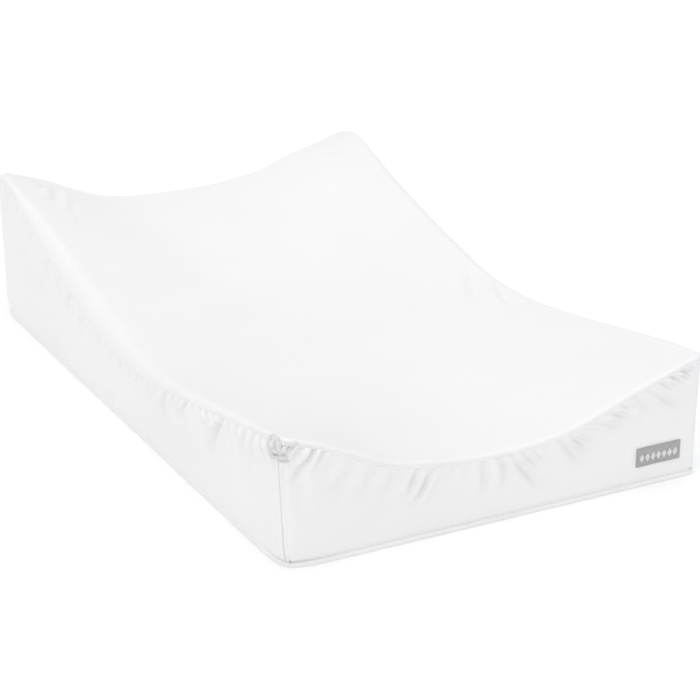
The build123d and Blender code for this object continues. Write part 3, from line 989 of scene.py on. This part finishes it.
class Shading:
    """A material being built: a shader, object coordinates and short ways to add nodes."""

    def __init__(self, name, color, roughness, sheen, specular):
        self.material = bpy.data.materials.new(name)
        self.material.use_nodes = True
        self.tree = self.material.node_tree
        self.inputs = self.tree.nodes["Principled BSDF"].inputs
        self.inputs["Base Color"].default_value = (*color, 1)
        self.inputs["Roughness"].default_value = roughness
        self.inputs["Sheen Weight"].default_value = sheen
        self.inputs["Specular IOR Level"].default_value = specular
        self.place = self.add("TexCoord").outputs["Object"]

    def add(self, kind, **inputs):
        """Adds a node. Inputs are numbers or sockets to link, with _ for a space in their names."""
        node = self.tree.nodes.new("ShaderNode" + kind)
        for name, value in inputs.items():
            socket = node.inputs[name.replace("_", " ")]
            if isinstance(value, bpy.types.NodeSocket):
                self.tree.links.new(value, socket)
            else:
                socket.default_value = value
        return node

    def noise(self, size, detail=3.0):
        node = self.add("TexNoise", Scale=1 / size, Detail=detail, Vector=self.place)
        return node.outputs["Fac"]

    def cells(self, size):
        return self.add("TexVoronoi", Scale=1 / size, Vector=self.place).outputs["Distance"]

    def threads(self, pitch, direction, wobble=0.4):
        scale = 2 * math.pi / (20 * pitch)
        node = self.add("TexWave", Scale=scale, Distortion=wobble, Detail=1.0, Vector=self.place)
        node.bands_direction = direction
        return node.outputs["Fac"]

    def weave(self, pitch, directions=("X", "Y", "Z")):
        """Threads in all directions, the highest on top."""
        height = self.threads(pitch, directions[0])
        for direction in directions[1:]:
            bands = self.threads(pitch, direction)
            node = self.add("Math")
            node.operation = "MAXIMUM"
            self.tree.links.new(height, node.inputs[0])
            self.tree.links.new(bands, node.inputs[1])
            height = node.outputs[0]
        return height

    def spread(self, fac, low, high):
        """Drives the roughness between two values with a pattern."""
        node = self.add("MapRange", To_Min=low, To_Max=high, Value=fac)
        self.tree.links.new(node.outputs["Result"], self.inputs["Roughness"])

    def tint(self, fac, *colors):
        """Drives the colour between two with a pattern."""
        node = self.add("ValToRGB", Fac=fac)
        for element, place, color in zip(node.color_ramp.elements, (0.3, 0.7), colors):
            element.position = place
            element.color = (*color, 1)
        self.tree.links.new(node.outputs["Color"], self.inputs["Base Color"])

    def bump(self, fac, depth, strength):
        """Adds a bump of a real depth, on top of any bump that is there already."""
        node = self.add("Bump", Distance=depth, Strength=strength, Height=fac)
        normal = self.inputs["Normal"]
        if normal.links:
            self.tree.links.new(normal.links[0].from_socket, node.inputs["Normal"])
        self.tree.links.new(node.outputs["Normal"], normal)


def make_material(name, base, tint, rough=None, bumps=()):
    """base: colour, roughness, sheen and specular level. tint: noise size, dark and light colour.
    rough: noise size, lowest and highest roughness, noise detail. bumps: pattern, what it is
    called with, depth (mm) and strength."""
    look = Shading(name, *base)
    look.tint(look.noise(tint[0]), *tint[1:])
    if rough:
        size, low, high, *detail = rough
        look.spread(look.noise(size, *detail), low, high)
    for pattern, values, depth, strength in bumps:
        look.bump(getattr(look, pattern)(*values), depth * MM, strength)
    return look.material


def grey(*levels):
    """One grey colour per level."""
    return [(level, level, level) for level in levels]


# The second grey, for the bunch of cloth at the foot left corner, is darker than the cover's: painted
# shade for the hollows of its folds.
COTTON, BUNCH_PAINTED_SHADE, NYLON = grey(0.87, 0.72, 0.82)
FINE_WEAVE = ("weave", (0.75 * MM,), 0.06, 0.6)
MATERIALS = {
    "cover": (
        "white coated cotton", (COTTON, 0.5, 0.12, 0.35),
        (0.16, (0.855, 0.855, 0.857), (0.880, 0.880, 0.880)), (0.012, 0.44, 0.58, 4.0),
        [("noise", (0.020, 4.0), 0.25, 0.5), ("weave", (0.62 * MM,), 0.035, 0.5)],
    ),
    "trim": (
        "white seam binding", (COTTON, 0.55, 0.15, 0.3),
        (0.03, (0.84, 0.84, 0.845), (0.88, 0.88, 0.88)), (0.006, 0.48, 0.62), [FINE_WEAVE],
    ),
    # The bunch's darker greys are painted shade, standing in for the shadow deep in its folds; the
    # cloth itself is the cover's white.
    "bunch": (
        "gathered seam allowance with painted shade", (BUNCH_PAINTED_SHADE, 0.65, 0.1, 0.25), (0.004, *grey(0.66, 0.77)),
        (0.003, 0.58, 0.74), [("noise", (0.0025, 4.0), 0.35, 0.7), FINE_WEAVE],
    ),
    "under": (
        "white underside cloth", (*grey(0.80), 0.7, 0.1, 0.25),
        (0.05, (0.77, 0.77, 0.775), (0.82, 0.82, 0.82)), (0.01, 0.62, 0.78),
        [("weave", (1.1 * MM, ("X", "Y")), 0.12, 0.7)],
    ),
    "label": (
        "grey woven label", (*grey(0.41), 0.75, 0.2, 0.2),
        (0.004, (0.385, 0.385, 0.388), (0.435, 0.435, 0.438)), (0.003, 0.65, 0.85),
        [
            ("threads", (0.55 * MM, "X", 0.2), 0.05, 0.6),
            ("threads", (0.40 * MM, "Z", 0.2), 0.06, 0.7),
        ],
    ),
    "satin": (
        "white satin tag", ((0.84, 0.84, 0.85), 0.35, 0.1, 0.5),
        (0.008, (0.82, 0.82, 0.83), (0.87, 0.87, 0.87)), (0.004, 0.28, 0.42),
        [("threads", (0.35 * MM, "X", 0.2), 0.02, 0.5)],
    ),
    "tape": (
        "white zip tape", (NYLON, 0.7, 0.2, 0.25), (0.01, *grey(0.79, 0.84)),
        (0.004, 0.6, 0.8), [("threads", (0.9 * MM, "DIAGONAL", 0.1), 0.08, 0.7)],
    ),
    "coil": (
        "white nylon coil", (NYLON, 0.3, 0.0, 0.5), (0.004, *grey(0.79, 0.85)),
        (0.002, 0.25, 0.4), [("noise", (0.0006,), 0.02, 0.4)],
    ),
    "enamel": (
        "white enamelled metal", (*grey(0.80), 0.28, 0.0, 0.5), (0.003, *grey(0.78, 0.83)),
        (0.0015, 0.22, 0.36), [("noise", (0.0008,), 0.02, 0.4)],
    ),
    "foam": (
        "cream polyurethane foam", ((0.86, 0.82, 0.66), 0.9, 0.1, 0.15),
        (0.03, (0.82, 0.77, 0.60), (0.88, 0.84, 0.68)), (0.004, 0.82, 0.98),
        [("cells", (1.6 * MM,), 0.35, 0.8), ("cells", (0.7 * MM,), 0.15, 0.6)],
    ),
    "floor": ("studio paper", (*grey(0.98), 0.95, 0.0, 0.1), (0.5, *grey(0.975, 0.985))),
}


def material(key):
    return make_material(*MATERIALS[key])


def thread_material(name, *levels):
    dark, light = grey(*levels)
    return make_material(
        name, (light, 0.6, 0.3, 0.3), (0.002, dark, light), (0.001, 0.5, 0.7),
        [("threads", (0.30 * MM, "DIAGONAL", 0.3), 0.04, 0.6)],
    )


# ---- Camera, light and floor

CAMERA_TARGET = (0, 0, 0.080)
CAMERA_AZIMUTH, CAMERA_ELEVATION, CAMERA_ROLL = -26.891, 20.709, -0.324  # degrees
CAMERA_DISTANCE = 2.2454
CAMERA_LENS, CAMERA_SENSOR = 108.76, 36
CAMERA_SHIFT = (0.0463, -0.0522)


def direction(azimuth, elevation):
    """From the pad: degrees round from the foot towards the right, and up."""
    a, e = math.radians(azimuth), math.radians(elevation)
    return Vector((math.cos(e) * math.sin(a), -math.cos(e) * math.cos(a), math.sin(e)))


def make_camera():
    data = bpy.data.cameras.new("camera")
    camera = add_object("camera", data)
    toward = direction(CAMERA_AZIMUTH, CAMERA_ELEVATION)
    camera.location = Vector(CAMERA_TARGET) + toward * CAMERA_DISTANCE
    facing = (-toward).to_track_quat("-Z", "Y")
    roll = Quaternion((0, 0, 1), math.radians(CAMERA_ROLL))
    camera.rotation_euler = (facing @ roll).to_euler()
    data.sensor_width = CAMERA_SENSOR
    data.lens = CAMERA_LENS
    data.shift_x, data.shift_y = CAMERA_SHIFT
    bpy.context.scene.camera = camera


WORLD_STRENGTH = 0.75
# Large soft lights far away: direction, how wide the source is (degrees) and its strength
SUNS = [
    ("overhead", 0, 88, 50, 0.69),
    ("front_left", -45, 45, 40, 0.37),
    ("left", -85, 45, 40, 0.09),
]
FLOOR = 60  # half its width


def sun_light(name, azimuth, elevation, angle, strength):
    data = bpy.data.lights.new(name, "SUN")
    data.energy = strength
    data.angle = math.radians(angle)
    light = add_object(name, data)
    toward = direction(azimuth, elevation)
    light.location = toward * 3
    light.rotation_euler = toward.to_track_quat("Z", "Y").to_euler()


def make_studio():
    scene = bpy.context.scene
    scene.view_settings.view_transform = "Standard"
    world = bpy.data.worlds.new("studio")
    world.use_nodes = True
    background = world.node_tree.nodes["Background"]
    background.inputs["Color"].default_value = (1, 1, 1, 1)
    background.inputs["Strength"].default_value = WORLD_STRENGTH
    scene.world = world
    for sun in SUNS:
        sun_light(*sun)
    corners = [(-FLOOR, -FLOOR, 0), (FLOOR, -FLOOR, 0), (FLOOR, FLOOR, 0), (-FLOOR, FLOOR, 0)]
    floor = new_object("floor", corners, [(0, 1, 2, 3)])
    floor.data.materials.append(material("floor"))


# ---- Assembly


def finish_piece(piece, look, slot, *nodes):
    piece.data.materials.clear()
    piece.data.materials.append(look)
    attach(piece, "pad")
    if nodes:
        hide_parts(*nodes)


make_camera()
make_studio()
cover = material("cover")
trim_cloth = material("trim")

top, top_held, top_growth = make_top()
jobs = {top: (top_held, top_growth)}
walls = {}
for side in SIDES:
    points = wall_points(side)
    walls[side] = make_wall(side, points)
    jobs[walls[side]] = wall_gather(points, side)
simulate_gathers(jobs)

foam = material("foam")
FOAM_NODES = ("foam_base_sheet", "foam_wedge_head", "foam_wedge_left", "foam_wedge_right")
for node in FOAM_NODES:
    block = make_foam(node)
    finish_piece(block, foam, "foam", node)

thicken(top)
finish_piece(top, cover, "cover_fabric", "cover_top_panel")
welt = make_welt()
finish_piece(welt, trim_cloth, "cover_trim", "top_seam_welt")
bunch = make_corner_bunch()
# The bunch's material is darker than the cover: painted shade in its hollows.
finish_piece(bunch, material("bunch"), "cover_trim", "corner_gather")

# Each wall's flat size, its gathered top edge cut about a twentieth longer than the finished wall,
# and its nodes
wall_facts = {
    "foot": ((0.470, 0.125), ["cover_foot_panel"]),
    "left": ((0.790, 0.175), ["cover_left_panel"]),
    "right": ((0.790, 0.175), ["cover_right_panel"]),
    "head": ((0.470, 0.175), ["cover_head_upper_panel", "cover_head_lower_panel"]),
}
for side in SIDES:
    flat, nodes = wall_facts[side]
    thicken(walls[side])
    finish_piece(walls[side], cover, "cover_fabric", *nodes)

finish_piece(make_binding(), trim_cloth, "cover_trim", "bottom_binding")
for corner in CORNERS:
    finish_piece(make_corner_seam(corner), trim_cloth, "cover_trim", f"corner_seam_{corner}")

under = rounded_plan_sheet("cover_bottom_cloth", 1.2 * MM)
finish_piece(under, material("under"), "cover_fabric", "cover_bottom_panel")

label = make_label()
finish_piece(label, material("label"), "label_fabric", "foot_label")
pattern = make_label_mark()
finish_piece(pattern, thread_material("light grey thread", 0.66, 0.76), "label_thread")
stitches = make_label_stitches()
grey_thread = thread_material("grey thread", 0.44, 0.52)
finish_piece(stitches, grey_thread, "label_thread", "label_stitching")
care = make_care_label()
finish_piece(care, material("satin"), "care_label_satin", "care_label")

tape = material("tape")
coil = material("coil")
for half in ("upper", "lower"):
    strip = make_zip_tape(f"zip_tape_{half}_cloth", f"zip_tape_{half}")
    finish_piece(strip, tape, "zip_tape", f"zip_tape_{half}")
    teeth = make_zip_coil(f"zip_teeth_{half}", f"zip_coil_{half}")
    finish_piece(teeth, coil, "zip_coil", f"zip_coil_{half}")
enamel = material("enamel")
coat = enamel.node_tree.nodes["Principled BSDF"]
coat.inputs["Coat Weight"].default_value = 0.4
coat.inputs["Coat Roughness"].default_value = 0.15
for node in ("zip_slider", "zip_pull", "zip_end_stops"):
    for slot in bpy.data.objects[node].material_slots:
        slot.material = enamel
